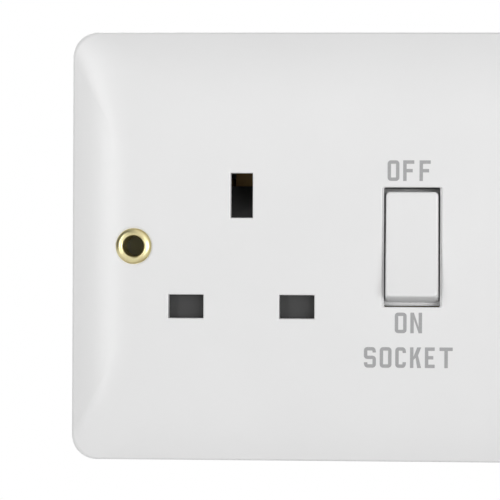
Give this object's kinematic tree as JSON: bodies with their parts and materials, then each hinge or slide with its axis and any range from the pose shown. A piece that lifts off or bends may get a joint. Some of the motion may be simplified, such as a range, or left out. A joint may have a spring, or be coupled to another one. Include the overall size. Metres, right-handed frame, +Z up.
{
  "type": "cooker control unit",
  "caption": "Two-gang wall plate with a double-pole cooker rocker, a switched three-pin socket with shutter, and a rear housing that holds contacts and terminals.",
  "frame": {"origin": "middle of the wall plane, halfway between the two fixing holes", "axes": "+X to the right seen from the front, +Y into the wall, +Z up; the front faces -Y"},
  "size_m": [0.146, 0.0377, 0.086],
  "materials": {
    "white_plastic": "semi-gloss moulded",
    "red_plastic": "semi-gloss moulded",
    "housing_plastic": "satin moulded",
    "shutter_plastic": "satin moulded",
    "plunger_plastic": "natural nylon",
    "brass": "bright",
    "plated_steel": "zinc plated",
    "spring_steel": "bright wire"
  },
  "bodies": {
    "unit": {"front_plate": "white_plastic", "left_eyelet": "brass", "right_eyelet": "brass", "rear_housing": "housing_plastic", "shutter_deck": "housing_plastic", "shutter_spring": "spring_steel", "live_busbar": "brass", "neutral_busbar": "brass", "neutral_link": "brass", "live_load_strip": "brass", "neutral_load_strip": "brass", "live_pin_contact": "brass", "neutral_pin_contact": "brass", "earth_pin_contact": "brass", "supply_live_terminal": "brass", "supply_neutral_terminal": "brass", "load_live_terminal": "brass", "load_neutral_terminal": "brass", "left_earth_terminal": "brass", "right_earth_terminal": "brass", "earth_strap": "plated_steel", "terminal_screws": "plated_steel", "earth_screws": "plated_steel", "housing_screws": "plated_steel"},
    "socket_rocker": {"socket_rocker": "white_plastic", "socket_plunger_spring": "spring_steel"},
    "socket_plunger": {"socket_plunger": "plunger_plastic"},
    "socket_contact_bar": {"socket_contact_bar": "brass"},
    "cooker_rocker": {"cooker_rocker": "red_plastic", "live_plunger_spring": "spring_steel", "neutral_plunger_spring": "spring_steel"},
    "live_plunger": {"live_plunger": "plunger_plastic"},
    "neutral_plunger": {"neutral_plunger": "plunger_plastic"},
    "live_contact_bar": {"live_contact_bar": "brass"},
    "neutral_contact_bar": {"neutral_contact_bar": "brass"},
    "shutter": {"shutter": "shutter_plastic"}
  },
  "joints": [
    {"name": "socket_rocker_rock", "type": "hinge", "parent": "unit", "child": "socket_rocker", "pos_m": [-0.0046, -0.005, 0], "axis": [1, 0, 0], "range_deg": [0, 12]},
    {"name": "socket_plunger_slide", "type": "slide", "parent": "socket_rocker", "child": "socket_plunger", "axis": [0, -0.9945, 0.1045], "range_m": [0, 0.0012], "stiffness_N_per_m": 500, "springref_m": -0.002, "deforming": ["socket_plunger_spring"]},
    {"name": "socket_contact_bar_rock", "type": "hinge", "parent": "unit", "child": "socket_contact_bar", "pos_m": [-0.0046, 0.009, 0], "axis": [1, 0, 0], "range_deg": [-18, 0]},
    {"name": "cooker_rocker_rock", "type": "hinge", "parent": "unit", "child": "cooker_rocker", "pos_m": [0.034, -0.005, 0], "axis": [1, 0, 0], "range_deg": [0, 10]},
    {"name": "live_plunger_slide", "type": "slide", "parent": "cooker_rocker", "child": "live_plunger", "axis": [0, -0.9962, 0.0872], "range_m": [0, 0.0012], "stiffness_N_per_m": 500, "springref_m": -0.002, "deforming": ["live_plunger_spring"]},
    {"name": "neutral_plunger_slide", "type": "slide", "parent": "cooker_rocker", "child": "neutral_plunger", "axis": [0, -0.9962, 0.0872], "range_m": [0, 0.0012], "stiffness_N_per_m": 500, "springref_m": -0.002, "deforming": ["neutral_plunger_spring"]},
    {"name": "live_contact_bar_rock", "type": "hinge", "parent": "unit", "child": "live_contact_bar", "pos_m": [0.0265, 0.009, 0], "axis": [1, 0, 0], "range_deg": [-18, 0]},
    {"name": "neutral_contact_bar_rock", "type": "hinge", "parent": "unit", "child": "neutral_contact_bar", "pos_m": [0.0415, 0.009, 0], "axis": [1, 0, 0], "range_deg": [-18, 0]},
    {"name": "shutter_slide", "type": "slide", "parent": "unit", "child": "shutter", "axis": [0, 0, -1], "range_m": [0, 0.006], "stiffness_N_per_m": 60, "springref_m": -0.006, "deforming": ["shutter_spring"]}
  ],
  "couplings": [
    {"joint": "socket_contact_bar_rock", "follows": "socket_rocker_rock", "ratio": -1.5},
    {"joint": "live_contact_bar_rock", "follows": "cooker_rocker_rock", "ratio": -1.8},
    {"joint": "neutral_contact_bar_rock", "follows": "cooker_rocker_rock", "ratio": -1.8}
  ]
}
